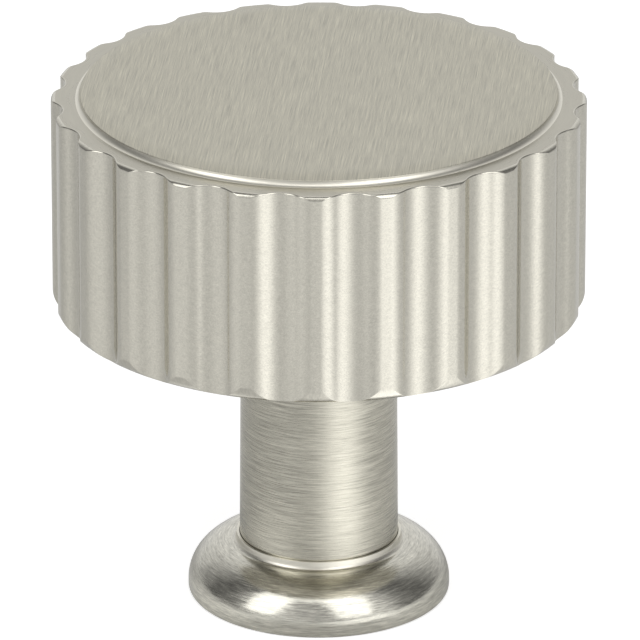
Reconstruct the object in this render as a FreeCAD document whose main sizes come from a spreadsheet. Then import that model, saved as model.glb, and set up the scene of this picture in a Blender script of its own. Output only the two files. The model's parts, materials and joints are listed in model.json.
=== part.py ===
import FreeCAD, Part
import math
import os

import Sketcher
from FreeCAD import Vector

# A fluted cabinet knob. Two turned pieces stand on one axis: the knob body
# (a drum head with a raised top disc, on a plain neck) and the foot collar,
# a round-shouldered ring whose turned-up lip hides the end of the neck.
#
# Frame: millimetres, +Z along the axis towards the head, origin at the centre
# of the foot's flat underside, which sits on the face of the drawer or door.

DOCUMENT_NAME = "CabinetKnob"
SHEET_NAME = "Sizes"

# name, value, what it measures
DRIVING_SIZES = [
    ("head_radius", 16.0, "drum head, over the lands between flutes"),
    ("ring_height", 31.9, "foot face to the flat ring round the top disc"),
    ("underside_height", 18.6, "foot face to the underside of the head"),
    ("head_upper_break", 0.2, "chamfer on the head's upper edge"),
    ("head_lower_round", 1.05, "rounding of the head's lower edge"),
    ("ring_width", 1.75, "flat ring between the top disc and the drum's side"),
    ("disc_rise", 0.5, "height of the top disc over the ring"),
    ("disc_break", 0.06, "chamfer on the top disc's edge"),
    ("disc_wall", 0.04, "upright strip of the disc's rim, between hollow and edge"),
    ("flute_count", 24, "flutes round the head"),
    ("flute_depth", 0.62, "depth of a flute below the lands"),
    ("flute_round", 1.7, "radius of a flute's hollow"),
    ("land_round", 1.5, "radius of the rolled edge from flute to land"),
    ("land_break", 0.01, "how far that edge's circle passes the drum"),
    ("neck_top_radius", 4.7, "neck where it meets the head"),
    ("neck_foot_radius", 4.8, "neck at its lower end"),
    ("neck_cove_round", 1.2, "hollow between neck and head"),
    ("neck_end_height", 3.3, "foot face to the lower end of the neck"),
    ("neck_end_round", 0.85, "rounding of the neck's lower end"),
    ("pilot_radius", 3.9, "stepped pilot below the neck, in the recess"),
    ("seat_height", 2.6, "foot face to the floor the pilot sits on"),
    ("spigot_radius", 2.9, "spigot that centres the foot collar"),
    ("spigot_gap", 0.2, "foot face to the spigot, so that the screw clamps the collar"),
    ("spigot_lead", 0.25, "chamfer on the spigot's end"),
    ("spigot_clearance", 0.08, "radial play of the collar on the spigot"),
    ("screw_hole_radius", 1.73, "wall of the tapped hole, before its thread"),
    ("screw_hole_depth", 12.0, "length of the tapped wall"),
    ("screw_hole_tip", 1.04, "height of the drilled tip above the tapped wall"),
    ("foot_height", 3.4, "foot face to the collar's top"),
    ("foot_flat", 0.2, "flat between the lip's hollow and the collar's shoulder"),
    ("foot_shoulder_round", 2.5, "quarter-round shoulder of the collar"),
    ("foot_edge_break", 0.3, "chamfer on the collar's lower edge"),
    ("lip_clearance", 0.03, "room between the neck and the inside of the lip"),
    ("lip_wall", 0.14, "thickness of the turned-up lip round the neck"),
    ("lip_rise", 0.34, "height of the lip over the collar's top"),
    ("lip_cove_round", 0.28, "hollow at the foot of the lip"),
    ("cutter_margin", 1.0, "how far the flute cutter runs past the head"),
]

SIZE = {name: value for name, value, _ in DRIVING_SIZES}
AXIS_PLANE = "XZ_Plane"
CROSS_PLANE = "XY_Plane"
EDGE_MATCH = 1e-4
LEAST_CUT_VOLUME = 0.01
SEEN_CONE_COUNT = 3
SMALL_CONE_COUNT = 2


def add_sheet(doc):
    """Put every driving size in the sheet: name, value under its alias, note."""
    sheet = doc.addObject("Spreadsheet::Sheet", SHEET_NAME)
    for row, (name, value, note) in enumerate(DRIVING_SIZES, start=1):
        sheet.set(f"A{row}", name)
        sheet.set(f"B{row}", str(value))
        sheet.setAlias(f"B{row}", name)
        sheet.set(f"C{row}", note)
    doc.recompute()
    return sheet


def bound(expression):
    """The expression with each size's name pointed at the sheet."""
    words = expression.split()
    return " ".join(f"{SHEET_NAME}.{word}" if word in SIZE else word for word in words)


def worked_out(doc, expression):
    """The number that an expression in the sizes comes to."""
    return float(doc.getObject(SHEET_NAME).evalExpression(bound(expression)))


def origin_plane(body, role):
    """The body's own origin plane with this role."""
    return next(item for item in body.Origin.OriginFeatures if item.Role == role)


def new_sketch(body, name, role):
    sketch = body.newObject("Sketcher::SketchObject", name)
    sketch.AttachmentSupport = [(origin_plane(body, role), "")]
    sketch.MapMode = "FlatFace"
    return sketch


def bind(sketch, constraint, name, expression):
    """Add a named constraint and tie its value to the sheet."""
    sketch.renameConstraint(sketch.addConstraint(constraint), name)
    sketch.setExpression(f".Constraints.{name}", bound(expression))


def rounded(radius, height, round_name, back, onward, cones):
    """Points that turn a square corner into a narrow rounding made of cones.

    The points lie on a quarter circle of the named radius. back points from the
    corner along the line that comes in and onward along the line that goes out,
    each as a radius part and a height part. At an angle t from the first line a
    point is the corner plus back times 1 - sin t plus onward times 1 - cos t,
    both times the radius of the rounding.
    """
    points = []
    for step in range(cones + 1):
        angle = math.pi / 2 * step / cones
        back_share, onward_share = 1 - math.sin(angle), 1 - math.cos(angle)
        across = back[0] * back_share + onward[0] * onward_share
        upward = back[1] * back_share + onward[1] * onward_share
        points.append((
            f"{radius} + {across:.6f} * {round_name}",
            f"{height} + {upward:.6f} * {round_name}",
        ))
    return points


def turned_profile(body, name, corners):
    """Sketch a closed half section. Each corner is a radius and a height, written
    in the sizes, and a radius of None puts it on the axis."""
    doc = body.Document
    sketch = new_sketch(body, name, AXIS_PLANE)
    points = [
        Vector(worked_out(doc, radius) if radius else 0.0, worked_out(doc, height), 0)
        for radius, height in corners
    ]
    for start, end in zip(points, points[1:] + points[:1]):
        sketch.addGeometry(Part.LineSegment(start, end), False)
    for index, (radius, height) in enumerate(corners):
        before = (index - 1) % len(corners)
        sketch.addConstraint(Sketcher.Constraint("Coincident", before, 2, index, 1))
        if radius:
            across = Sketcher.Constraint("DistanceX", -1, 1, index, 1, points[index].x)
            bind(sketch, across, f"radius_{index}", radius)
        else:
            sketch.addConstraint(Sketcher.Constraint("PointOnObject", index, 1, -2))
        if points[index].y:
            upward = Sketcher.Constraint("DistanceY", -1, 1, index, 1, points[index].y)
            bind(sketch, upward, f"height_{index}", height)
        else:
            sketch.addConstraint(Sketcher.Constraint("PointOnObject", index, 1, -1))
    return sketch


def turn(body, kind, name, corners):
    """Revolve a half section: kind is Revolution to add it, Groove to cut it."""
    sketch = turned_profile(body, name + "Profile", corners)
    feature = body.newObject(f"PartDesign::{kind}", name)
    feature.Profile = sketch
    feature.ReferenceAxis = (sketch, ["V_Axis"])
    feature.Angle = 360
    body.Document.recompute()
    return feature


def circle_edge(body, radius, height):
    """Name of the body's full circle about the axis, of this radius and height."""
    doc = body.Document
    for number, edge in enumerate(body.Tip.Shape.Edges, start=1):
        curve = edge.Curve
        if not isinstance(curve, Part.Circle):
            continue
        same_size = abs(curve.Radius - worked_out(doc, radius)) < EDGE_MATCH
        if same_size and abs(curve.Center.z - worked_out(doc, height)) < EDGE_MATCH:
            return f"Edge{number}"
    raise RuntimeError(f"no edge of radius {radius} at height {height}")


def soften(body, kind, name, size_name, radius, height):
    """Fillet or chamfer the edge that runs round the axis at this radius and height."""
    base = (body.Tip, [circle_edge(body, radius, height)])
    feature = body.newObject(f"PartDesign::{kind}", name)
    feature.Base = base
    size_property = "Radius" if kind == "Fillet" else "Size"
    feature.setExpression(size_property, bound(size_name))
    body.Document.recompute()
    return feature


def flute_section(body):
    """Sketch one flute from above, centred on the X axis: a hollow arc, a rolled
    edge arc tangent to it on each side, and three lines that close it outside
    the drum. The rolled edge's circle passes land_break outside the drum, so that
    the cut ends on the land at a slight angle and not at a graze."""
    head = SIZE["head_radius"]
    hollow = SIZE["flute_round"]
    roll = SIZE["land_round"]
    outside = head + SIZE["cutter_margin"]
    centre = Vector(head - SIZE["flute_depth"] + hollow, 0, 0)
    reach = head - roll + SIZE["land_break"]
    span = hollow + roll
    turn_angle = math.acos((centre.x**2 + reach**2 - span**2) / (2 * centre.x * reach))
    outward = Vector(math.cos(turn_angle), math.sin(turn_angle), 0)
    roll_centre = outward * reach
    join = centre + (roll_centre - centre) * (hollow / span)
    crest = outward * (reach + roll)
    corner = outward * outside

    def below(point):
        return Vector(point.x, -point.y, 0)

    def arc(middle, radius, start, end):
        """Counter-clockwise arc about middle."""
        circle = Part.Circle(middle, Vector(0, 0, 1), radius)
        first = math.atan2(start.y - middle.y, start.x - middle.x)
        last = math.atan2(end.y - middle.y, end.x - middle.x)
        if last < first:
            last += 2 * math.pi
        return Part.ArcOfCircle(circle, first, last)

    sketch = new_sketch(body, "FluteSection", CROSS_PLANE)
    hollow_arc = sketch.addGeometry(arc(centre, hollow, join, below(join)), False)
    upper_arc = sketch.addGeometry(arc(roll_centre, roll, join, crest), False)
    lower_arc = sketch.addGeometry(arc(below(roll_centre), roll, below(crest), below(join)), False)
    upper_side = sketch.addGeometry(Part.LineSegment(crest, corner), False)
    back = sketch.addGeometry(Part.LineSegment(corner, below(corner)), False)
    lower_side = sketch.addGeometry(Part.LineSegment(below(corner), below(crest)), False)

    tangent_join = Sketcher.Constraint("Tangent", hollow_arc, 1, upper_arc, 1)
    corners = [
        (upper_arc, 2, upper_side, 1),
        (upper_side, 2, back, 1),
        (back, 2, lower_side, 1),
        (lower_side, 2, lower_arc, 1),
        (lower_arc, 2, hollow_arc, 2),
    ]
    sketch.addConstraint(tangent_join)
    for corner_ends in corners:
        sketch.addConstraint(Sketcher.Constraint("Coincident", *corner_ends))
    sketch.addConstraint(Sketcher.Constraint("Symmetric", hollow_arc, 1, hollow_arc, 2, -1))
    sketch.addConstraint(Sketcher.Constraint("Symmetric", upper_arc, 2, lower_arc, 1, -1))
    sketch.addConstraint(Sketcher.Constraint("Symmetric", back, 1, back, 2, -1))
    sketch.addConstraint(Sketcher.Constraint("Equal", upper_arc, lower_arc))
    sketch.addConstraint(Sketcher.Constraint("PointOnObject", -1, 1, upper_side))
    sketch.addConstraint(Sketcher.Constraint("PointOnObject", upper_arc, 3, upper_side))
    bind(sketch, Sketcher.Constraint("Radius", hollow_arc, hollow), "hollow", "flute_round")
    bind(sketch, Sketcher.Constraint("Radius", upper_arc, roll), "roll", "land_round")
    bind(sketch, Sketcher.Constraint("DistanceX", -1, 1, hollow_arc, 3, centre.x),
         "hollow_centre", "head_radius - flute_depth + flute_round")
    bind(sketch, Sketcher.Constraint("Distance", -1, 1, upper_arc, 3, reach),
         "roll_centre", "head_radius - land_round + land_break")
    bind(sketch, Sketcher.Constraint("Distance", -1, 1, upper_side, 2, outside),
         "outside", "head_radius + cutter_margin")
    return sketch


def cut_flutes(body):
    """Cut one flute up through the whole head and repeat it round the axis."""
    sketch = flute_section(body)
    flute = body.newObject("PartDesign::Pocket", "Flute")
    flute.Profile = sketch
    flute.Reversed = True
    flute.setExpression("Length", bound("ring_height + cutter_margin"))
    body.Document.recompute()
    pattern = body.newObject("PartDesign::PolarPattern", "Flutes")
    pattern.Originals = [flute]
    pattern.Axis = (sketch, ["N_Axis"])
    pattern.Angle = 360
    pattern.setExpression("Occurrences", bound("flute_count"))
    body.Tip = pattern
    body.Document.recompute()
    return pattern


def must_shrink(body, volume_before, step):
    """Stop if a cut took nothing away."""
    if body.Shape.Volume > volume_before - LEAST_CUT_VOLUME:
        raise RuntimeError(f"{step} cut nothing")


def make_knob_body(doc):
    """Head, neck, pilot and spigot, turned in one piece and then fluted. The head's
    lower rounding goes deeper into the drum than the flutes do, so each flute runs
    out on it in a U and the drum's lower rim stays a plain circle."""
    body = doc.addObject("PartDesign::Body", "KnobBody")
    body.Label = "knob_body"
    disc_radius = "head_radius - ring_width"
    disc_top = "ring_height + disc_rise"
    disc_cove = "disc_rise - disc_break - disc_wall"
    inward, outward = (-1, 0), (1, 0)
    upward, downward = (0, 1), (0, -1)
    neck_end = rounded("neck_foot_radius", "neck_end_height", "neck_end_round",
                       inward, upward, SEEN_CONE_COUNT)
    neck_cove = rounded("neck_top_radius", "underside_height", "neck_cove_round",
                        downward, outward, SMALL_CONE_COUNT)
    lower_edge = rounded("head_radius", "underside_height", "head_lower_round",
                         inward, upward, SEEN_CONE_COUNT)
    turn(body, "Revolution", "KnobBlank", [
        (None, "spigot_gap"),
        ("spigot_radius", "spigot_gap"),
        ("spigot_radius", "seat_height"),
        ("pilot_radius", "seat_height"),
        ("pilot_radius", "neck_end_height"),
        *neck_end,
        *neck_cove,
        *lower_edge,
        ("head_radius", "ring_height"),
        (disc_radius, "ring_height"),
        (disc_radius, disc_top),
        (None, disc_top),
    ])
    soften(body, "Chamfer", "HeadUpperBreak", "head_upper_break", "head_radius", "ring_height")
    soften(body, "Chamfer", "DiscBreak", "disc_break", disc_radius, disc_top)
    soften(body, "Chamfer", "DiscCove", disc_cove, disc_radius, "ring_height")
    soften(body, "Chamfer", "SpigotLead", "spigot_lead", "spigot_radius", "spigot_gap")
    before_flutes = body.Shape.Volume
    cut_flutes(body)
    must_shrink(body, before_flutes, "the flutes")
    before_hole = body.Shape.Volume
    wall_end = "spigot_gap + screw_hole_depth"
    turn(body, "Groove", "ScrewHole", [
        (None, "0"),
        ("screw_hole_radius", "0"),
        ("screw_hole_radius", wall_end),
        (None, wall_end + " + screw_hole_tip"),
    ])
    must_shrink(body, before_hole, "the screw hole")
    return body


def make_foot_collar(doc):
    """The ring under the neck: quarter-round shoulder, turned-up lip, recess and bore."""
    body = doc.addObject("PartDesign::Body", "FootCollar")
    body.Label = "foot_collar"
    bore = "spigot_radius + spigot_clearance"
    recess = "neck_foot_radius + lip_clearance"
    lip_radius = f"{recess} + lip_wall"
    lip_top = "foot_height + lip_rise"
    foot_radius = f"{lip_radius} + lip_cove_round + foot_flat + foot_shoulder_round"
    outward, upward = (1, 0), (0, 1)
    lip_cove = rounded(lip_radius, "foot_height", "lip_cove_round",
                       outward, upward, SMALL_CONE_COUNT)
    turn(body, "Revolution", "CollarBlank", [
        (bore, "0"),
        (foot_radius, "0"),
        (foot_radius, "foot_height"),
        *lip_cove,
        (lip_radius, lip_top),
        (recess, lip_top),
        (recess, "seat_height"),
        (bore, "seat_height"),
    ])
    soften(body, "Fillet", "FootShoulder", "foot_shoulder_round", foot_radius, "foot_height")
    soften(body, "Chamfer", "FootEdge", "foot_edge_break", foot_radius, "0")
    return body


def check_document(doc, bodies):
    """Stop unless every object recomputed and every body is one valid solid."""
    doc.recompute()
    for item in doc.Objects:
        if {"Invalid", "Error"} & set(item.State):
            raise RuntimeError(f"{item.Name} failed: {item.State}")
    for body in bodies:
        shape = body.Shape
        if shape.isNull() or not shape.isValid() or len(shape.Solids) != 1:
            raise RuntimeError(f"{body.Label} is not one valid solid")


def main():
    doc = FreeCAD.newDocument(DOCUMENT_NAME)
    add_sheet(doc)
    bodies = [make_knob_body(doc), make_foot_collar(doc)]
    check_document(doc, bodies)
    os.makedirs("parts", exist_ok=True)
    for body in bodies:
        body.Shape.exportStep(f"parts/{body.Label}.step")
        print(f"{body.Label}: {body.Shape.Volume:.1f} mm3, top at {body.Shape.BoundBox.ZMax:.2f} mm")


main()
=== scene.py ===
# %% [markdown]
# This lesson dresses a small fluted cabinet knob in satin nickel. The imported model
# of the knob is loaded first and stays fixed. It has two pieces on one axis: the
# knob body, which is a drum head on a neck, and the foot collar, which is the ring
# that the neck stands in. The origin is the centre of the foot's flat underside, and
# Z runs up the axis. Shapes are worked out in millimetres. Times MM they are in
# metres, which is what Blender and the model use.

# %% Load the frame
import json
import math

import bpy
import numpy as np
from mathutils import Matrix, Vector


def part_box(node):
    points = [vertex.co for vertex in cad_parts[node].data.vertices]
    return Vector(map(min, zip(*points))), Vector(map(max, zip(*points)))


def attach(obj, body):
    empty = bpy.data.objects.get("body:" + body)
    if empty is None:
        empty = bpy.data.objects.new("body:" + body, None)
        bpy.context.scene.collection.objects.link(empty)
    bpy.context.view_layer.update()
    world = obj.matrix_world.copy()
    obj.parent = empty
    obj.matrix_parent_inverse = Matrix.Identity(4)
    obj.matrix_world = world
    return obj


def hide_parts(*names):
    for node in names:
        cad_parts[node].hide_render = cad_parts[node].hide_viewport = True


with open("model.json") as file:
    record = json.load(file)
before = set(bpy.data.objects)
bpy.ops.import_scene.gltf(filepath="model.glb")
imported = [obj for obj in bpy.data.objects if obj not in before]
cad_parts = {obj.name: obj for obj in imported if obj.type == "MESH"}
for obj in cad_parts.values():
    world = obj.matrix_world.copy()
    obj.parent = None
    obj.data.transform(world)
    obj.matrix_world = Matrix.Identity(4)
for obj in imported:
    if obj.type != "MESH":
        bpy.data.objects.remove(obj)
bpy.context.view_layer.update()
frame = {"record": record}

MM = 0.001
knob_low, knob_high = (np.array(corner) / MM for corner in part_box("knob_body"))
foot_low, foot_high = (np.array(corner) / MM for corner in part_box("foot_collar"))
print("knob body, mm:", knob_low.round(2), knob_high.round(2))
print("foot collar, mm:", foot_low.round(2), foot_high.round(2))

# %% [markdown]
# First come the sizes that several parts of the knob share. The model's boxes give
# its top and its lowest point, and the others repeat what the model was built with,
# or a little correction of it. No edge of a
# real knob is quite sharp. Even a rounding of a few hundredths of a millimetre
# catches the light as a thin bright line, so the sharpest edges get one too.

# %% Shared sizes
DISC_TOP = knob_high[2]
DISC_RISE = 0.5
RING_HEIGHT = DISC_TOP - DISC_RISE
HEAD_RADIUS = 16.0
UNDERSIDE_HEIGHT = 18.6
SEAT_HEIGHT = 2.6
SPIGOT_END = knob_low[2]
SHARP_EDGE_ROUND = 0.045
print("disc top", round(DISC_TOP, 2), "ring", round(RING_HEIGHT, 2), "mm")

# %% [markdown]
# Both pieces are turned on a lathe, so each is an outline carried round the axis.
# An outline could be drawn by hand as a curve. Here it is a short list of corners,
# each with its rounding, because that is how a turned part is dimensioned. The
# straight stretches get an extra point next to each rounding. Without it the shading
# of a long flat would bend towards the rounding, because Blender blends the
# directions of neighbouring faces.

# %% Outline with rounded corners
GUARD = 0.03
ARC_STEP = math.radians(11.25)
FEWEST_ARC_STEPS = 3
FLAT_REACH = 1.3        # an outline's end on a flat face, in roundings from the corner


def rounded_outline(corners, closed=False):
    """Points along an outline of (radius, height, rounding) corners, in millimetres.

    A rounding of size q at a corner where the line turns by an angle a touches both
    lines at q times tan(a / 2) from the corner. Its centre lies q to the side of
    that touching point, and the arc runs from one touching point to the other. A
    guard point stands on each line next to the arc, at most a third of the way on.
    """
    places = np.array([corner[:2] for corner in corners], float)
    rounding = np.array([corner[2] for corner in corners], float)
    if not closed:
        rounding[[0, -1]] = 0
    steps = np.roll(places, -1, axis=0) - places
    goes = steps / np.linalg.norm(steps, axis=1)[:, None]
    came = np.roll(goes, 1, axis=0)
    turn = np.arctan2(came[:, 0] * goes[:, 1] - came[:, 1] * goes[:, 0], (came * goes).sum(1))
    reach = rounding * np.tan(np.abs(turn) / 2)
    free = np.linalg.norm(steps, axis=1) - reach - np.roll(reach, -1)
    guard_after = np.minimum(GUARD, free / 3)
    guard_before = np.roll(guard_after, 1)

    points = []
    for index, corner in enumerate(places):
        if rounding[index] == 0:
            points.append(corner)
            continue
        start = corner - came[index] * reach[index]
        side = math.copysign(1.0, turn[index])
        centre = start + rounding[index] * side * np.array([-came[index][1], came[index][0]])
        count = max(FEWEST_ARC_STEPS, math.ceil(abs(turn[index]) / ARC_STEP))
        angles = turn[index] * np.arange(count + 1) / count
        arm = start - centre
        arc = centre + np.stack([
            arm[0] * np.cos(angles) - arm[1] * np.sin(angles),
            arm[0] * np.sin(angles) + arm[1] * np.cos(angles),
        ], axis=1)
        end = corner + goes[index] * reach[index]
        points += [
            start - came[index] * guard_before[index],
            *arc,
            end + goes[index] * guard_after[index],
        ]
    return np.array(points)


sample = rounded_outline([(0, 0, 0), (5, 0, 1), (5, 5, 0)])
print("a square corner with a rounding of 1 mm becomes", len(sample), "points")

# %% [markdown]
# The drum has 24 flutes, each cut up through the whole head. Seen from above a flute
# is three arcs that touch: a hollow that curves into the metal, and on each side a
# rolled edge that curves out of it and ends on the drum. The flutes could be cut with
# 24 Boolean modifiers, but those leave ragged slivers where the hollows meet the
# rounded edges. A formula for the drum's radius at each angle keeps the mesh an
# even grid, and the shading stays clean.

# %% Radius of the fluted drum
FLUTE_COUNT = 24
FLUTE_DEPTH = 0.62
FLUTE_ROUND = 1.7
LAND_ROUND = 1.5
LAND_BREAK = 0.01


def fluted_radius(angle):
    """Distance from the axis to the drum's side, in millimetres, at each angle.

    q is the angle from the middle of the nearest flute. Inside the hollow the radius
    is the near crossing of the ray with a circle of FLUTE_ROUND whose centre stands
    outside the drum. On the rolled edge it is the far crossing with a circle of
    LAND_ROUND just inside the drum. Beyond that it is the drum itself.
    """
    pitch = 2 * math.pi / FLUTE_COUNT
    q = np.abs((angle + pitch / 2) % pitch - pitch / 2)
    hollow_reach = HEAD_RADIUS - FLUTE_DEPTH + FLUTE_ROUND
    roll_reach = HEAD_RADIUS - LAND_ROUND + LAND_BREAK
    span = FLUTE_ROUND + LAND_ROUND
    roll_angle = math.acos(
        (hollow_reach**2 + roll_reach**2 - span**2) / (2 * hollow_reach * roll_reach)
    )
    hollow_centre = np.array([hollow_reach, 0.0])
    roll_centre = roll_reach * np.array([math.cos(roll_angle), math.sin(roll_angle)])
    join = hollow_centre + (roll_centre - hollow_centre) * FLUTE_ROUND / span
    join_angle = math.atan2(join[1], join[0])

    hollow_square = np.maximum(FLUTE_ROUND**2 - (hollow_reach * np.sin(q))**2, 0)
    hollow = hollow_reach * np.cos(q) - np.sqrt(hollow_square)
    off = q - roll_angle
    roll_square = np.maximum(LAND_ROUND**2 - (roll_reach * np.sin(off))**2, 0)
    roll = roll_reach * np.cos(off) + np.sqrt(roll_square)
    return np.where(q < join_angle, hollow, np.minimum(roll, HEAD_RADIUS))


# %% [markdown]
# The angles of the mesh's columns come next. The flutes need 48 columns each to look
# smooth. A plain turned stretch needs a quarter as many, and the small hole a quarter
# of those.

# %% Columns round the axis
COLUMNS_PER_FLUTE = 48
COARSER = 4
HEAD_COLUMNS = COLUMNS_PER_FLUTE * FLUTE_COUNT
TURNED_COLUMNS = HEAD_COLUMNS // COARSER
HOLE_COLUMNS = TURNED_COLUMNS // COARSER


def angles_of(columns):
    """The angle of each column, in even steps from the X axis."""
    return 2 * math.pi * np.arange(columns) / columns


side_radius = fluted_radius(angles_of(HEAD_COLUMNS))
print("fluted side from", side_radius.min().round(3), "to", side_radius.max().round(3), "mm")

# %% [markdown]
# The edges of the head were rounded on the lathe before the flutes were cut. So the
# land between two flutes keeps the whole rounding, while a flute has cut it away and
# left a crisper edge. A Bevel modifier would round both alike. Here each column of
# the mesh gets its own edge: it turns with the lathe's radius where that is left, and
# with a small one where the cutter took it away. At the bottom each flute then runs
# out on the large rounding in a U.

# %% Edge of the fluted head
LAND_EDGE_ROUND = 0.27
HEAD_LOWER_ROUND = 1.05
CUT_EDGE_ROUND = 0.09
EDGE_ROWS = 12


def crossed_edge(side, turned_round, cut_round, headings, turned_first):
    """How far each column's edge has gone on and across at each heading.

    At a heading h from the first face, a piece of the edge with radius r has gone on
    by r times sin h and across by r times (1 - cos h). The turned part has the radius
    turned_round, and the part that the flute has cut has cut_round. turned_first says
    which of them comes first. They meet at the heading switch, which follows from how
    far the side stands inside the drum.
    """
    room = side - (HEAD_RADIUS - turned_round) - cut_round
    left = np.clip(room / (turned_round - cut_round), 0, 1)
    switch = np.arcsin(left) if turned_first else np.arccos(left)
    first, second = (turned_round, cut_round) if turned_first else (cut_round, turned_round)
    h = headings[:, None]
    before, after = np.minimum(h, switch), np.maximum(h, switch)
    on = first * np.sin(before) + second * (np.sin(after) - np.sin(switch))
    across = first * (1 - np.cos(before)) + second * (np.cos(switch) - np.cos(after))
    return on, across


# %% [markdown]
# With the edges known, the head is a stack of rows from the flat ring over the upper
# edge, down the drum's side, and round the lower edge to the underside. The side's
# rows stand close together at its ends, for the same reason as the guard points.

# %% Rows of the head
SIDE_SHARES = np.array([0.003, 0.015, 0.05, 0.2, 0.4, 0.6, 0.8, 0.95, 0.985, 0.997])


def head_rows(side):
    """Rows of radius and height from the flat ring, down the drum, to its underside."""
    headings = np.linspace(0, math.pi / 2, EDGE_ROWS + 1)
    on, down = crossed_edge(side, LAND_EDGE_ROUND, CUT_EDGE_ROUND, headings, turned_first=True)
    upper_radius = side - on[-1] + on
    upper_height = RING_HEIGHT - down
    on, inward = crossed_edge(side, HEAD_LOWER_ROUND, SHARP_EDGE_ROUND, headings, turned_first=False)
    lower_radius = side - inward
    lower_height = UNDERSIDE_HEIGHT + on[-1] - on
    side_top, side_bottom = upper_height[-1], lower_height[0]
    side_height = side_top + (side_bottom - side_top) * SIDE_SHARES[:, None]
    ring_guard = upper_radius[:1] - GUARD
    under_guard = lower_radius[-1:] - GUARD
    radius = np.vstack([
        ring_guard, upper_radius, side + 0 * side_height, lower_radius, under_guard,
    ])
    height = np.vstack([
        np.full_like(ring_guard, RING_HEIGHT), upper_height, side_height, lower_height,
        np.full_like(under_guard, UNDERSIDE_HEIGHT),
    ])
    return radius, height


head_radius, head_height = head_rows(side_radius)
print("head rows and columns:", head_radius.shape)

# %% [markdown]
# Inside the foot is the tapped hole for the screw. A Screw modifier could wind its
# thread, but the hole has to be one skin with the rest of the knob. So the thread is
# a groove in the wall's radius, which depends on the height and the angle together:
# one turn round is the same as one pitch up. The groove fades out before the plain
# bottom of the hole.

# %% Tapped hole
hole = frame["record"]["mounts"][0]
HOLE_RADIUS = hole["dims"]["r_mm"]
HOLE_LENGTH = hole["dims"]["length_mm"]
HOLE_TIP = 1.04
THREAD_PITCH = 0.794
THREAD_DEPTH = 0.32
THREAD_ROWS_PER_PITCH = 10
THREAD_FLAT = 0.1
THREAD_FADE = 0.9
THREAD_LEFT_AT_MOUTH = 0.3
MOUTH_EASE = 0.08
MOUTH_RADIUS = HOLE_RADIUS + THREAD_DEPTH + MOUTH_EASE
MOUTH_DEPTH = 0.4


def hole_rows():
    """Rows of radius and height from the mouth up the thread to the end of the wall.

    The phase is height over pitch less the share of a turn. The groove's depth is a
    wave of the phase with flat crests and roots, faded to nothing at its inner end
    and to THREAD_LEFT_AT_MOUTH at the mouth.
    """
    angle = angles_of(HOLE_COLUMNS)[None]
    low = SPIGOT_END + MOUTH_DEPTH
    high = SPIGOT_END + HOLE_LENGTH - THREAD_PITCH
    rows = round((high - low) / THREAD_PITCH * THREAD_ROWS_PER_PITCH)
    height = np.linspace(low, high, rows)[:, None] + 0 * angle
    phase = height / THREAD_PITCH - angle / (2 * math.pi)
    wave = np.abs(2 * (phase % 1) - 1)
    groove = np.clip((wave - THREAD_FLAT) / (1 - 2 * THREAD_FLAT), 0, 1)
    fade = np.clip((height - low) / THREAD_FADE + THREAD_LEFT_AT_MOUTH, 0, 1)
    fade = fade * np.clip((high - height) / THREAD_FADE, 0, 1)
    thread = HOLE_RADIUS + THREAD_DEPTH * groove * fade
    flat = np.ones_like(angle)
    radius = np.vstack([
        flat * (MOUTH_RADIUS + GUARD), flat * MOUTH_RADIUS, thread, flat * HOLE_RADIUS,
    ])
    height = np.vstack([
        flat * SPIGOT_END, flat * SPIGOT_END, height, flat * (SPIGOT_END + HOLE_LENGTH),
    ])
    return radius, height


hole_radius, hole_height = hole_rows()
print("hole rows and columns:", hole_radius.shape)

# %% [markdown]
# Each piece is now a stack of rows, and each row is a ring of points. The next step
# joins two rows with faces. Where a row of many columns meets a row of few, on a flat
# face, one coarse step takes four fine ones, so that no seam opens between them. A
# row of one point is a pole, and its faces are triangles. Corners are listed
# anticlockwise as seen from outside, because that is the side a face looks to.

# %% Faces between two rows


def faces_between(first, second):
    """Faces between two rows, each given as its first vertex and its columns.

    A face takes one step of the coarser row. Its corners run forward along the
    second row and back along the first, so that it faces outwards. Returned are the
    corners, each corner's share of a turn, and which of them stand on the second row.
    """
    (first_start, first_columns), (second_start, second_columns) = first, second
    faces = min(first_columns, second_columns)
    if faces == 1:
        faces = max(first_columns, second_columns)
    step = np.arange(faces)[:, None]

    def side(start, columns, backwards):
        """The corners of every face on one row, and their shares of a turn."""
        if columns == 1:
            return np.full_like(step, start), (step + 0.5) / faces
        fine = columns // faces
        along = np.arange(fine + 1)
        column = step * fine + (along[::-1] if backwards else along)
        return start + column % columns, column / columns

    ahead, ahead_turns = side(second_start, second_columns, False)
    back, back_turns = side(first_start, first_columns, True)
    on_second = np.arange(ahead.shape[1] + back.shape[1]) < ahead.shape[1]
    return np.hstack([ahead, back]), np.hstack([ahead_turns, back_turns]), on_second


corners, _, _ = faces_between((0, HEAD_COLUMNS), (HEAD_COLUMNS, TURNED_COLUMNS))
print("a face between the drum and a plain row has", corners.shape[1], "corners")

# %% [markdown]
# A Screw or Spin tool could carry a plain outline round the axis, but not one whose
# radius changes with the angle. So the whole piece is put together from its rows.
# Every corner of a face also gets a place on a flat map, which Blender calls a UV
# map: across is the share of a turn, and up is the length along the outline in
# millimetres. Brushing that runs round the piece will follow that map.

# %% Mesh of a turned piece


def outline_rows(points, columns):
    """An outline as rows: the same radius and height in every column."""
    ones = np.ones(columns)
    return points[:, :1] * ones, points[:, 1:] * ones


def lengths_along(rows, closed):
    """Length along the outline at each row's mean place, and once round if closed."""
    places = [(radius.mean(), height.mean()) for radius, height, _ in rows]
    if closed:
        places.append(places[0])
    steps = np.linalg.norm(np.diff(places, axis=0), axis=1)
    return np.concatenate([[0.0], np.cumsum(steps)])


def ring_points(radius, height):
    """Points of one row: radius times cos and sin of each column's angle, and height."""
    angle = angles_of(len(radius))
    return np.stack([radius * np.cos(angle), radius * np.sin(angle), height], axis=1)


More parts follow.
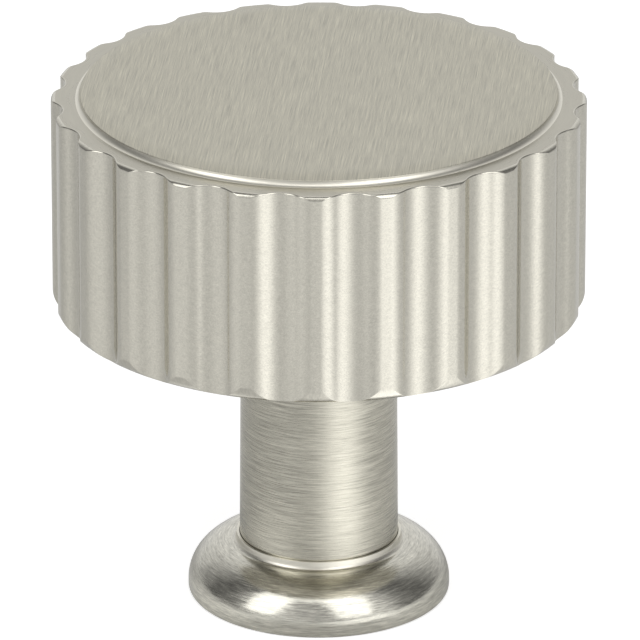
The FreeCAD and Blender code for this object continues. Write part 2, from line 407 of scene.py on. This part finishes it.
def turned_mesh(name, stacks, closed=False):
    """A piece from stacks of rows. A stack is its radii, its heights and its slots.

    A row's slot is the number of the material that the faces after it take.
    """
    rows = [row for stack in stacks for row in zip(*stack)]
    counts = [len(radius) for radius, _, _ in rows]
    starts = np.cumsum([0] + counts)
    lengths = lengths_along(rows, closed)
    faces, places, slots = [], [], []
    for one in range(len(rows) if closed else len(rows) - 1):
        two = (one + 1) % len(rows)
        corners, turns, on_second = faces_between(
            (starts[one], counts[one]), (starts[two], counts[two])
        )
        along = np.where(on_second, lengths[one + 1], lengths[one]) + 0 * turns
        faces += corners.tolist()
        places.append(np.stack([turns, along], axis=-1).reshape(-1, 2))
        slots.append(np.full(len(corners), rows[one][2]))

    mesh = bpy.data.meshes.new(name)
    points = np.vstack([ring_points(radius, height) for radius, height, _ in rows])
    mesh.from_pydata((points * MM).tolist(), [], faces)
    mesh.uv_layers.new(name="turned").data.foreach_set("uv", np.vstack(places).ravel())
    mesh.polygons.foreach_set("material_index", np.concatenate(slots))
    mesh.polygons.foreach_set("use_smooth", np.ones(len(faces), bool))
    mesh.update()
    piece = bpy.data.objects.new(name, mesh)
    bpy.context.scene.collection.objects.link(piece)
    print(name, len(mesh.vertices), "points", len(faces), "faces")
    return piece


# %% [markdown]
# The top disc stands half a millimetre above the ring round it. Its border is rolled
# off by about a tenth, as a brushing belt might leave it, and at its foot a small
# cove leads into the ring. Both turn the metal towards another part of the studio, so
# they show as thin lines. They are real shapes here, because a bump in the material
# would not change the outline from the side.

# %% Outline of the disc
RING_WIDTH = 1.75
DISC_RADIUS = HEAD_RADIUS - RING_WIDTH
DISC_CENTRE_ROW = 2.0
ROLL_WIDTH = 0.8
ROLL_DROP = 0.12
ROLL_ROUND = 5.0
SHOULDER_ROUND = 0.06
STEP_LEAN = 0.04
STEP_COVE_ROUND = 0.34
STEP_FOOT_RADIUS = DISC_RADIUS + STEP_LEAN
disc_outline = rounded_outline([
    (DISC_CENTRE_ROW, DISC_TOP, 0),
    (DISC_RADIUS - ROLL_WIDTH, DISC_TOP, ROLL_ROUND),
    (DISC_RADIUS, DISC_TOP - ROLL_DROP, SHOULDER_ROUND),
    (STEP_FOOT_RADIUS, RING_HEIGHT, STEP_COVE_ROUND),
    (STEP_FOOT_RADIUS + FLAT_REACH * STEP_COVE_ROUND, RING_HEIGHT, 0),
])
print("disc outline:", len(disc_outline), "points")

# %% [markdown]
# The neck hangs from the underside in a wide cove and grows a little towards the
# foot. Its lower end is rounded and hides behind the collar's lip. Below it come two
# steps that no one sees once the knob is mounted: the pilot that centres the neck in
# the collar, and the spigot that fills the collar's bore.

# %% Outline of the neck
NECK_TOP_RADIUS = 4.7
NECK_FOOT_RADIUS = 4.8
NECK_COVE_ROUND = 1.2
NECK_END_HEIGHT = 3.3
NECK_END_ROUND = 0.15
PILOT_RADIUS = 3.9
SPIGOT_RADIUS = 2.9
SPIGOT_LEAD = 0.25
MOUTH_RIM = 0.12
neck_outline = rounded_outline([
    (NECK_TOP_RADIUS + FLAT_REACH * NECK_COVE_ROUND, UNDERSIDE_HEIGHT, 0),
    (NECK_TOP_RADIUS, UNDERSIDE_HEIGHT, NECK_COVE_ROUND),
    (NECK_FOOT_RADIUS, NECK_END_HEIGHT, NECK_END_ROUND),
    (PILOT_RADIUS, NECK_END_HEIGHT, SHARP_EDGE_ROUND),
    (PILOT_RADIUS, SEAT_HEIGHT, SHARP_EDGE_ROUND),
    (SPIGOT_RADIUS, SEAT_HEIGHT, SHARP_EDGE_ROUND),
    (SPIGOT_RADIUS, SPIGOT_END, SPIGOT_LEAD),
    (MOUTH_RADIUS + MOUTH_RIM, SPIGOT_END, 0),
])
print("neck outline:", len(neck_outline), "points")

# %% [markdown]
# The knob body is one closed skin, from the middle of the disc over the head and down
# the neck to the tip of the hole, because the real one is one casting. Its slots are
# numbered so that each stretch can take its own finish. The belt brushed the top
# with its rolled-off border, but not the step below it. The step's slot takes a paler
# colour, a painted highlight for the light that the step catches.

# %% Knob body
DISC_SLOT, RING_SLOT, FLUTE_SLOT, NECK_SLOT, HOLE_SLOT, STEP_SLOT = range(6)
STEP_END = 0.01        # the step's finish ends this far above the ring


def build_knob_body():
    """The skin of the knob body, as rows from the disc's middle to the hole's tip."""
    height = disc_outline[:, 1]
    on_disc = height > DISC_TOP - ROLL_DROP - SHOULDER_ROUND / 2
    on_step = ~on_disc & (height > RING_HEIGHT + STEP_END)
    disc_slots = np.select([on_disc, on_step], [DISC_SLOT, STEP_SLOT], RING_SLOT)
    head_slots = np.full(len(head_radius), FLUTE_SLOT)
    head_slots[0] = RING_SLOT
    neck_slots = np.full(len(neck_outline), NECK_SLOT)
    hole_slots = np.full(len(hole_radius), HOLE_SLOT)
    pole = np.zeros((1, 1))
    return turned_mesh("satin_knob", [
        (pole, pole + DISC_TOP, [DISC_SLOT]),
        (*outline_rows(disc_outline, TURNED_COLUMNS), disc_slots),
        (head_radius, head_height, head_slots),
        (*outline_rows(neck_outline, TURNED_COLUMNS), neck_slots),
        (hole_radius, hole_height, hole_slots),
        (pole, pole + SPIGOT_END + HOLE_LENGTH + HOLE_TIP, [HOLE_SLOT]),
    ])


knob = build_knob_body()

# %% [markdown]
# The foot collar is a ring, so its outline closes on itself and needs no pole. Its
# shoulder is a low dome, a little wider than it is high, which a quarter of an
# ellipse gives better than a plain rounding. Its thin lip stands up round the neck
# with a little room, and that gap is the dark line that shows where one piece ends
# and the other begins.

# %% Foot collar
FOOT_INSET = 0.03        # a little inside the model's box
FOOT_RADIUS = foot_high[0] - FOOT_INSET
FOOT_BAND_HEIGHT = 0.62
FOOT_EDGE_ROUND = 0.31
DOME_REACH = 2.9
DOME_RISE = 2.6
DOME_STEPS = 34
DOME_FIRST_STEP = 0.13        # radians, room for the cove under the lip
BORE_RADIUS = 2.98
LIP_INNER_RADIUS = 4.83
LIP_TOP_RADIUS = 4.98
LIP_OUTER_RADIUS = 5.03
LIP_TOP = foot_high[2]
LIP_COVE_ROUND = 0.3
LIP_EDGE_ROUND = 0.01
COLLAR_SLOT, LIP_SLOT = range(2)


def build_foot_collar():
    """The collar's outline, carried round: lip, cove, dome, edge, bore and recess.

    At a turn t the dome stands at DOME_REACH times cos t out from its centre line
    and DOME_RISE times sin t up from the foot's upright band. It starts at the turn
    where it meets the lip, and ends upright at t = 0.
    """
    centre = FOOT_RADIUS - DOME_REACH
    start = math.acos((LIP_OUTER_RADIUS - centre) / DOME_REACH)
    turn = np.append(start, np.linspace(start - DOME_FIRST_STEP, 0, DOME_STEPS))
    dome = np.stack([
        centre + DOME_REACH * np.cos(turn),
        FOOT_BAND_HEIGHT + DOME_RISE * np.sin(turn),
        np.where(turn == start, LIP_COVE_ROUND, 0),
    ], axis=1)
    outline = rounded_outline([
        (LIP_TOP_RADIUS, LIP_TOP, LIP_EDGE_ROUND),
        *dome,
        (FOOT_RADIUS, 0, FOOT_EDGE_ROUND),
        (BORE_RADIUS, 0, SHARP_EDGE_ROUND),
        (BORE_RADIUS, SEAT_HEIGHT, SHARP_EDGE_ROUND),
        (LIP_INNER_RADIUS, SEAT_HEIGHT, SHARP_EDGE_ROUND),
        (LIP_INNER_RADIUS, LIP_TOP, LIP_EDGE_ROUND / 2),
    ], closed=True)
    # The lip takes the paler colour: a painted highlight along its edge.
    on_lip = outline[:, 1] > dome[0, 1] + LIP_COVE_ROUND / 3
    slots = np.where(on_lip, LIP_SLOT, COLLAR_SLOT)
    rows = outline_rows(outline, TURNED_COLUMNS)
    return turned_mesh("brushed_collar", [(*rows, slots)], closed=True)


collar = build_foot_collar()

# %% [markdown]
# Now the metal. Brushing is what makes it look like nickel and not like grey plastic,
# and it comes in two kinds here. Lines round the axis are left by an abrasive held
# against the turning piece. Straight lines are left by a belt. Both could be a
# picture of scratches, but noise needs no picture, has no seam and stays sharp close
# up. A few small helpers make the node trees shorter to write.

# %% Shader helpers


def math_node(tree, operation, first, second=None):
    """One Math node, fed by sockets or plain numbers."""
    node = tree.nodes.new("ShaderNodeMath")
    node.operation = operation
    for socket, value in zip(node.inputs, (first, second)):
        if isinstance(value, bpy.types.NodeSocket):
            tree.links.new(value, socket)
        elif value is not None:
            socket.default_value = value
    return node.outputs[0]


def noise_node(tree, vector, scale, detail, roughness):
    """A three-dimensional noise texture read at this place."""
    node = tree.nodes.new("ShaderNodeTexNoise")
    tree.links.new(vector, node.inputs["Vector"])
    node.inputs["Scale"].default_value = scale
    node.inputs["Detail"].default_value = detail
    node.inputs["Roughness"].default_value = roughness
    return node.outputs["Fac"]


# %% [markdown]
# The brushing is noise that is stretched far along the lines and fine across them. One
# node group does it for every finish. It takes a place whose third part, Z, runs
# across the lines, and how many lines there are to a millimetre. Two layers, fine
# scratches and a few coarser ones, make one mask, which a finish can turn into
# colour, roughness or height as it likes.

# %% Brushing group
COARSE_SCALE = 0.35
COARSE_WEIGHT = 0.35


def brushing_group():
    """The fine layer plus COARSE_WEIGHT of the coarse one, brought back to 0 to 1."""
    group = bpy.data.node_groups.new("brushing", "ShaderNodeTree")
    sockets = group.interface
    sockets.new_socket("Place", in_out="INPUT", socket_type="NodeSocketVector")
    sockets.new_socket("Fineness", in_out="INPUT", socket_type="NodeSocketFloat")
    sockets.new_socket("Mask", in_out="OUTPUT", socket_type="NodeSocketFloat")
    given = group.nodes.new("NodeGroupInput")
    made = group.nodes.new("NodeGroupOutput")

    stretch = group.nodes.new("ShaderNodeCombineXYZ")
    stretch.inputs["X"].default_value = 1.0
    stretch.inputs["Y"].default_value = 1.0
    group.links.new(given.outputs["Fineness"], stretch.inputs["Z"])
    scaled = group.nodes.new("ShaderNodeVectorMath")
    scaled.operation = "MULTIPLY"
    group.links.new(given.outputs["Place"], scaled.inputs[0])
    group.links.new(stretch.outputs[0], scaled.inputs[1])
    place = scaled.outputs[0]
    fine = noise_node(group, place, 1.0, 3.0, 0.65)
    coarse = noise_node(group, place, COARSE_SCALE, 2.0, 0.5)
    both = math_node(group, "ADD", fine, math_node(group, "MULTIPLY", coarse, COARSE_WEIGHT))
    mask = math_node(group, "MULTIPLY", both, 1 / (1 + COARSE_WEIGHT))
    group.links.new(mask, made.inputs["Mask"])
    return group


BRUSHING = brushing_group()
print("brushing group:", [item.name for item in BRUSHING.interface.items_tree])

# %% [markdown]
# The place that the brushing reads comes in two forms. Round the axis it is the
# cosine and sine of the turn, so that the pattern meets itself where a full turn
# closes, with the outline's length as the third part. Straight across the disc it is
# the object's X and Y in millimetres, turned so that the third part runs across the
# lines.

# %% Places for the two kinds of brushing


def turned_place(tree, circle):
    """Cosine and sine of the turn, times circle, and the length along the outline.

    The smaller the circle, the longer the lines.
    """
    turned = tree.nodes.new("ShaderNodeUVMap")
    turned.uv_map = "turned"
    parts = tree.nodes.new("ShaderNodeSeparateXYZ")
    tree.links.new(turned.outputs[0], parts.inputs[0])
    angle = math_node(tree, "MULTIPLY", parts.outputs["X"], 2 * math.pi)
    place = tree.nodes.new("ShaderNodeCombineXYZ")
    for socket, operation in (("X", "COSINE"), ("Y", "SINE")):
        wave = math_node(tree, operation, angle)
        tree.links.new(math_node(tree, "MULTIPLY", wave, circle), place.inputs[socket])
    tree.links.new(parts.outputs["Y"], place.inputs["Z"])
    return place.outputs[0]


def straight_place(tree, direction, along_scale):
    """The object's place in millimetres, with Z across the lines and Y along them.

    Y is multiplied by along_scale, so the smaller it is, the longer the lines.
    """
    coordinates = tree.nodes.new("ShaderNodeTexCoord")
    turned = tree.nodes.new("ShaderNodeMapping")
    turned.inputs["Rotation"].default_value[2] = math.pi / 2 - direction
    turned.inputs["Scale"].default_value = (1 / MM,) * 3
    tree.links.new(coordinates.outputs["Object"], turned.inputs["Vector"])
    parts = tree.nodes.new("ShaderNodeSeparateXYZ")
    tree.links.new(turned.outputs[0], parts.inputs[0])
    place = tree.nodes.new("ShaderNodeCombineXYZ")
    along = math_node(tree, "MULTIPLY", parts.outputs["Y"], along_scale)
    tree.links.new(along, place.inputs["Y"])
    tree.links.new(parts.outputs["X"], place.inputs["Z"])
    return place.outputs[0]


# %% [markdown]
# Every finish is the same nickel, so one function makes them all, each with its own
# colour, roughness and grain. The brushing mask is spread over a range three times:
# once for a change of tone, once for roughness, and once as the height of a very
# shallow bump. Metallic is 1 all over, because plated metal is bare metal to light.

# %% Nickel finish
MASK_LOW, MASK_HIGH = 0.3, 0.7        # nearly all of the mask lies between these


def spread(tree, mask, middle, grain):
    """The mask spread over a range, from middle less grain to middle plus grain."""
    node = tree.nodes.new("ShaderNodeMapRange")
    tree.links.new(mask, node.inputs["Value"])
    node.inputs["From Min"].default_value = MASK_LOW
    node.inputs["From Max"].default_value = MASK_HIGH
    node.inputs["To Min"].default_value = middle - grain
    node.inputs["To Max"].default_value = middle + grain
    return node.outputs[0]


def nickel(name, colour, tone_grain, roughness, rough_grain, place, fineness, bump):
    """A nickel finish. place builds the brushing's place in the material's tree,
    fineness is in lines to a millimetre, and bump is the lines' depth in millimetres."""
    material = bpy.data.materials.new(name)
    material.use_nodes = True
    tree = material.node_tree
    shader = tree.nodes["Principled BSDF"]
    shader.inputs["Metallic"].default_value = 1.0
    brushing = tree.nodes.new("ShaderNodeGroup")
    brushing.node_tree = BRUSHING
    brushing.inputs["Fineness"].default_value = fineness
    tree.links.new(place(tree), brushing.inputs["Place"])
    mask = brushing.outputs["Mask"]

    tint = tree.nodes.new("ShaderNodeVectorMath")
    tint.operation = "SCALE"
    tint.inputs[0].default_value = colour
    tree.links.new(spread(tree, mask, 1, tone_grain), tint.inputs["Scale"])
    tree.links.new(tint.outputs[0], shader.inputs["Base Color"])
    tree.links.new(spread(tree, mask, roughness, rough_grain), shader.inputs["Roughness"])
    lines = tree.nodes.new("ShaderNodeBump")
    lines.inputs["Strength"].default_value = 1.0
    lines.inputs["Distance"].default_value = bump * MM
    tree.links.new(mask, lines.inputs["Height"])
    tree.links.new(lines.outputs[0], shader.inputs["Normal"])
    print("finish:", name)
    return material


# %% [markdown]
# The disc is the part that people touch and see first. A belt has brushed it in
# straight lines, a little off the line of sight, and so strongly that it is the
# dullest of the finishes.

# %% Brushed disc
BRUSH_DIRECTION = math.radians(78)
disc_finish = nickel(
    "brushed_disc", (0.517, 0.496, 0.416), tone_grain=0.42, roughness=0.42, rough_grain=0.12,
    place=lambda tree: straight_place(tree, BRUSH_DIRECTION, 0.4), fineness=26.0, bump=0.003,
)

# %% [markdown]
# The flat ring has only faint lines round the axis, and the drum's fine grain is
# hardly longer than it is wide. The drum has to be smooth enough to show the stripes
# of light and dark that the floor puts in its flutes, so its roughness is low.

# %% Satin ring and flutes
ring_finish = nickel(
    "satin_ring", (0.475, 0.456, 0.39), tone_grain=0.08, roughness=0.30, rough_grain=0.05,
    place=lambda tree: turned_place(tree, 6.0), fineness=6.0, bump=0.001,
)
flute_finish = nickel(
    "satin_flutes", (0.60, 0.58, 0.51), tone_grain=0.15, roughness=0.175, rough_grain=0.06,
    place=lambda tree: turned_place(tree, 150.0), fineness=12.0, bump=0.001,
)

# %% [markdown]
# The neck looks brushed while it turned, so it has the clearest lines of all, and
# they are level. The collar has shorter lines and less roughness, and that is why
# its shoulder shows two white patches with dark between them. The screw's hole is
# hidden in the photograph and is taken to be plain cut metal.

# %% Brushed neck, collar and hole
neck_finish = nickel(
    "brushed_neck", (0.51, 0.492, 0.422), tone_grain=0.44, roughness=0.26, rough_grain=0.12,
    place=lambda tree: turned_place(tree, 3.0), fineness=22.0, bump=0.004,
)
hole_finish = nickel(
    "cut_thread", (0.50, 0.48, 0.42), tone_grain=0.05, roughness=0.35, rough_grain=0.05,
    place=lambda tree: turned_place(tree, 2.0), fineness=8.0, bump=0.002,
)
collar_finish = nickel(
    "brushed_nickel_collar", (0.585, 0.57, 0.505), tone_grain=0.40, roughness=0.18,
    rough_grain=0.10, place=lambda tree: turned_place(tree, 9.0), fineness=14.0, bump=0.003,
)

# %% [markdown]
# The step round the disc and the collar's lip are narrow raised edges. They show as thin
# and mostly light lines, partly because their shape catches the light and partly from a
# painted highlight: they share a paler colour with hardly any grain.

# %% Edges with a painted highlight
# a paler nickel that paints a highlight on the disc's step and the collar's lip
painted_highlight_finish = nickel(
    "buffed_edge", (0.75, 0.725, 0.64), tone_grain=0.05, roughness=0.32, rough_grain=0.03,
    place=lambda tree: turned_place(tree, 6.0), fineness=6.0, bump=0.001,
)
for finish in (
    disc_finish, ring_finish, flute_finish, neck_finish, hole_finish, painted_highlight_finish,
):
    knob.data.materials.append(finish)
for finish in (collar_finish, painted_highlight_finish):
    collar.data.materials.append(finish)
print("knob:", list(knob.data.materials.keys()))
print("collar:", list(collar.data.materials.keys()))

# %% [markdown]
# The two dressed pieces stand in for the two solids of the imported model. Nothing on
# a knob moves, so both ride on the model's one body.

# %% Join the pieces to the frame
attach(knob, "root")        # makes the piece move with a body of the model
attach(collar, "root")
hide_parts("knob_body")        # hides the plain solid that it stands for
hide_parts("foot_collar")

# %% [markdown]
# The camera stands where the photograph's camera seems to have stood: a little over
# half a metre away and 23 degrees above the knob, with a long lens, because the sides of the drum look
# almost parallel. It could be pushed about by hand until the picture fits. Here its
# numbers were worked out from the outlines of the disc, drum, neck and foot in the
# photograph. It is turned seven degrees to the left of the front, which puts the
# flutes where they are seen.

# %% Camera
CAMERA_ELEVATION = math.radians(22.73)
CAMERA_TURN = math.radians(-6.9)
CAMERA_DISTANCE = 629.4
CAMERA_AIM_HEIGHT = 17.49
CAMERA_AIM_SIDE = 0.07
CAMERA_FOCAL_PIXELS = 10460.7
IMAGE_WIDTH = 640
SENSOR_WIDTH = 36.0
NEAREST, FARTHEST = 0.01, 10        # metres


def add_camera():
    """Look along +Y, down by the elevation, then turn the whole view about the axis."""
    data = bpy.data.cameras.new("photo_camera")
    data.sensor_width = SENSOR_WIDTH
    data.lens = CAMERA_FOCAL_PIXELS / IMAGE_WIDTH * SENSOR_WIDTH
    data.clip_start = NEAREST
    data.clip_end = FARTHEST
    camera = bpy.data.objects.new("photo_camera", data)
    bpy.context.scene.collection.objects.link(camera)
    ahead = Vector((0, math.cos(CAMERA_ELEVATION), -math.sin(CAMERA_ELEVATION)))
    aim = Vector((CAMERA_AIM_SIDE, 0, CAMERA_AIM_HEIGHT))
    place = Matrix.Translation((aim - ahead * CAMERA_DISTANCE) * MM)
    tilt = Matrix.Rotation(math.pi / 2 - CAMERA_ELEVATION, 4, "X")
    camera.matrix_world = Matrix.Rotation(CAMERA_TURN, 4, "Z") @ place @ tilt
    bpy.context.scene.camera = camera
    return camera


camera = add_camera()
print("camera at, mm:", [round(part / MM, 1) for part in camera.matrix_world.translation])

# %% [markdown]
# Metal shows what is round it, so what the floor and the walls look like matters as
# much as the metal's own colour. Both depend on the direction, as seen from the knob.
# The next helpers turn a place or a direction into a number that is 1 on the camera's
# side, or at some turn from it, and 0 on the opposite side.

# %% Direction helpers
SHORTEST = 1e-5        # keeps a division by the distance from the axis safe


def smooth_step(tree, value, start, end, low=0.0, high=1.0):
    """low below start, high above end, and a smooth change between them."""
    node = tree.nodes.new("ShaderNodeMapRange")
    node.interpolation_type = "SMOOTHSTEP"
    tree.links.new(value, node.inputs["Value"])
    for name, number in zip(("From Min", "From Max", "To Min", "To Max"), (start, end, low, high)):
        node.inputs[name].default_value = number
    return node.outputs["Result"]


def dot_node(tree, vector, direction):
    """How far the vector reaches in a fixed direction."""
    node = tree.nodes.new("ShaderNodeVectorMath")
    node.operation = "DOT_PRODUCT"
    tree.links.new(vector, node.inputs[0])
    node.inputs[1].default_value = direction
    return node.outputs["Value"]


def half_cosine(tree, vector, turn):
    """(1 + cos a) / 2, and the vector's length along the ground.

    a is the angle on the ground between the vector and the direction that is this
    turn, anticlockwise from above, from the camera's.
    """
    middle = turn + CAMERA_TURN
    towards = dot_node(tree, vector, (math.sin(middle), -math.cos(middle), 0))
    level = tree.nodes.new("ShaderNodeVectorMath")
    level.operation = "MULTIPLY"
    tree.links.new(vector, level.inputs[0])
    level.inputs[1].default_value = (1, 1, 0)
    length = tree.nodes.new("ShaderNodeVectorMath")
    length.operation = "LENGTH"
    tree.links.new(level.outputs[0], length.inputs[0])
    reach = math_node(tree, "MAXIMUM", length.outputs["Value"], SHORTEST)
    cosine = math_node(tree, "DIVIDE", towards, reach)
    return math_node(tree, "MULTIPLY", math_node(tree, "ADD", cosine, 1.0), 0.5), reach


# %% [markdown]
# The sides of the drum and of the neck look down at the floor, so the floor draws
# their stripes. The stripes in the photograph fit a floor that is lit most in front,
# to the right, and less at the left. The weaker pools, behind and close to the foot,
# were found by comparing renders with it. Each is a patch of light on the floor that
# only the metal sees. Real lamps could make them, but would light the background too.

# %% Pools of light
POOLS = (        # turn in degrees, strength, narrowness, start and reach in metres
    (35, 0.96, 15, 0.012, 0.15),
    (-52, 0.32, 8, 0.045, 0.15),
    (100, 0.17, 12, 0.012, 0.15),
    (180, 0.30, 6, 0.012, 0.15),
    (28, 0.25, 20, 0.010, 0.040),
    (-65, 0.35, 8, 0.006, 0.018),
    (50, 0.25, 8, 0.006, 0.018),
    (-46, 0.3, 20, 0.010, 0.016),
    (-20, 0.14, 3, 0.016, 0.036),
)
POOL_RISE = 0.004
POOL_SOFTNESS = 0.3        # share of the reach over which a pool fades, each way


def pool_strength(tree):
    """How bright the pools are at a place on the floor.

    With a the angle from a pool's middle, as seen from the knob's axis, it falls as
    ((1 + cos a) / 2) to the power of its narrowness. Each pool starts and ends softly
    at its own distances from the axis.
    """
    place = tree.nodes.new("ShaderNodeNewGeometry").outputs["Position"]
    total = 0.0
    for turn, strength, narrowness, start, reach in POOLS:
        half, distance = half_cosine(tree, place, math.radians(turn))
        lobe = math_node(tree, "POWER", half, narrowness)
        rise = smooth_step(tree, distance, start, start + POOL_RISE)
        fade_from, fade_to = reach * (1 - POOL_SOFTNESS), reach * (1 + POOL_SOFTNESS)
        fade = smooth_step(tree, distance, fade_from, fade_to, strength, 0.0)
        shape = math_node(tree, "MULTIPLY", rise, fade)
        total = math_node(tree, "ADD", math_node(tree, "MULTIPLY", lobe, shape), total)
    return total


# %% [markdown]
# The floor itself is matt and pale grey, which keeps the knob's shadow soft and gives
# the metal something darker than white to show. For the camera it is lifted to plain
# white with a little glow of its own. The glow lights nothing else, because only
# camera rays see it.

# %% Floor
FLOOR_HALF = 2.0        # metres
FLOOR_COLOUR = 0.68
FLOOR_LIFT = 0.65


def floor_material():
    """Matt grey that keeps the shadow, lifted for the camera, with pools for the metal."""
    material = bpy.data.materials.new("white_floor")
    material.use_nodes = True
    tree = material.node_tree
    shader = tree.nodes["Principled BSDF"]
    shader.inputs["Base Color"].default_value = (FLOOR_COLOUR,) * 3 + (1,)
    shader.inputs["Roughness"].default_value = 1.0
    shader.inputs["Specular IOR Level"].default_value = 0.0
    shader.inputs["Emission Color"].default_value = (1, 1, 1, 1)
    rays = tree.nodes.new("ShaderNodeLightPath")
    pool = math_node(tree, "MULTIPLY", rays.outputs["Is Glossy Ray"], pool_strength(tree))
    lift = math_node(tree, "MULTIPLY", rays.outputs["Is Camera Ray"], FLOOR_LIFT)
    tree.links.new(math_node(tree, "ADD", pool, lift), shader.inputs["Emission Strength"])
    return material


def add_floor():
    """One large square at the height of the foot's underside."""
    signs = ((-1, -1), (1, -1), (1, 1), (-1, 1))
    mesh = bpy.data.meshes.new("floor")
    mesh.from_pydata([(x * FLOOR_HALF, y * FLOOR_HALF, 0) for x, y in signs], [], [(0, 1, 2, 3)])
    mesh.materials.append(floor_material())
    floor = bpy.data.objects.new("floor", mesh)
    bpy.context.scene.collection.objects.link(floor)
    return floor


floor = add_floor()
print("floor:", 2 * FLOOR_HALF, "m wide, with", len(POOLS), "pools")

# %% [markdown]
# The world stands for the studio's walls and ceiling. Its light comes mostly from two
# bright walls beside the camera and from one behind the knob, while the walls at the
# sides are dark and the ceiling is dim. That contrast gives the collar its two white
# patches, and the wall at the back is what the disc shows. A colour ramp holds the
# walls: 0 is behind the knob, 1 is behind the camera. The camera itself sees white.

# %% Surround
SURROUND = (        # place on the ramp, strength
    (0.0, 0.95),
    (0.08, 0.8),
    (0.25, 0.25),
    (0.42, 0.12),
    (0.62, 0.3),
    (0.74, 0.9),
    (0.93, 0.9),
    (0.98, 0.6),
    (1.0, 0.55),
)
CEILING = 0.28
CEILING_START, CEILING_END = 0.78, 0.95        # sine of the height above the horizon
WHITE_TO_CAMERA = 1.0


def dress_world():
    """The walls by their turn, the ceiling above them, and white for camera rays."""
    world = bpy.data.worlds.new("studio")
    bpy.context.scene.world = world
    world.use_nodes = True
    tree = world.node_tree
    surround = tree.nodes["Background"]
    surround.inputs["Color"].default_value = (1, 1, 1, 1)
    direction = tree.nodes.new("ShaderNodeTexCoord").outputs["Generated"]
    half, _ = half_cosine(tree, direction, 0)
    walls = tree.nodes.new("ShaderNodeValToRGB")
    walls.color_ramp.interpolation = "B_SPLINE"
    tree.links.new(half, walls.inputs["Fac"])
    stops = walls.color_ramp.elements
    while len(stops) < len(SURROUND):
        stops.new(0.5)
    for stop, (position, strength) in zip(stops, SURROUND):
        stop.position = position
        stop.color = (strength, strength, strength, 1)
    up = dot_node(tree, direction, (0, 0, 1))
    studio = tree.nodes.new("ShaderNodeMix")
    tree.links.new(smooth_step(tree, up, CEILING_START, CEILING_END), studio.inputs["Factor"])
    tree.links.new(walls.outputs["Color"], studio.inputs["A"])
    studio.inputs["B"].default_value = CEILING
    seen = tree.nodes.new("ShaderNodeMix")
    rays = tree.nodes.new("ShaderNodeLightPath")
    tree.links.new(rays.outputs["Is Camera Ray"], seen.inputs["Factor"])
    tree.links.new(studio.outputs["Result"], seen.inputs["A"])
    seen.inputs["B"].default_value = WHITE_TO_CAMERA
    tree.links.new(seen.outputs["Result"], surround.inputs["Strength"])
    return world


world = dress_world()
print("world:", world.name, "with", len(SURROUND), "stops round the walls")

# %% [markdown]
# Two tall soft boxes stand in front of the bright walls, at the left and at the
# right. They make the white patches on the collar's shoulder whiter than the walls
# can. A third one, high above, lights the disc's step and the upper edge of the drum,
# where the head itself keeps its light off the collar.

# %% Lamps
LAMP_DISTANCE = 0.5        # metres


def add_softbox(name, azimuth, elevation, size, power):
    """A lamp that faces the knob. Azimuth counts from the camera's side, to the
    right, and elevation from the floor, both in degrees. Size is in metres."""
    data = bpy.data.lights.new(name, "AREA")
    data.shape = "RECTANGLE"
    data.size, data.size_y = size
    data.energy = power
    lamp = bpy.data.objects.new(name, data)
    bpy.context.scene.collection.objects.link(lamp)
    turn = math.radians(azimuth) + CAMERA_TURN
    rise = math.radians(elevation)
    level = math.cos(rise)
    way = Vector((math.sin(turn) * level, -math.cos(turn) * level, math.sin(rise)))
    lamp.location = Vector((0, 0, CAMERA_AIM_HEIGHT * MM)) + way * LAMP_DISTANCE
    lamp.rotation_euler = (-way).to_track_quat("-Z", "Y").to_euler()
    print(name, [round(part, 3) for part in lamp.location])
    return lamp


add_softbox("softbox_left", azimuth=-52, elevation=33, size=(0.26, 0.5), power=0.54)
add_softbox("softbox_right", azimuth=31, elevation=33, size=(0.29, 0.5), power=0.58)
add_softbox("softbox_top", azimuth=10, elevation=70, size=(0.3, 0.3), power=0.3)

# %% [markdown]
# The picture is written as plain colours.

# %% Finish
bpy.context.scene.view_settings.view_transform = "Standard"
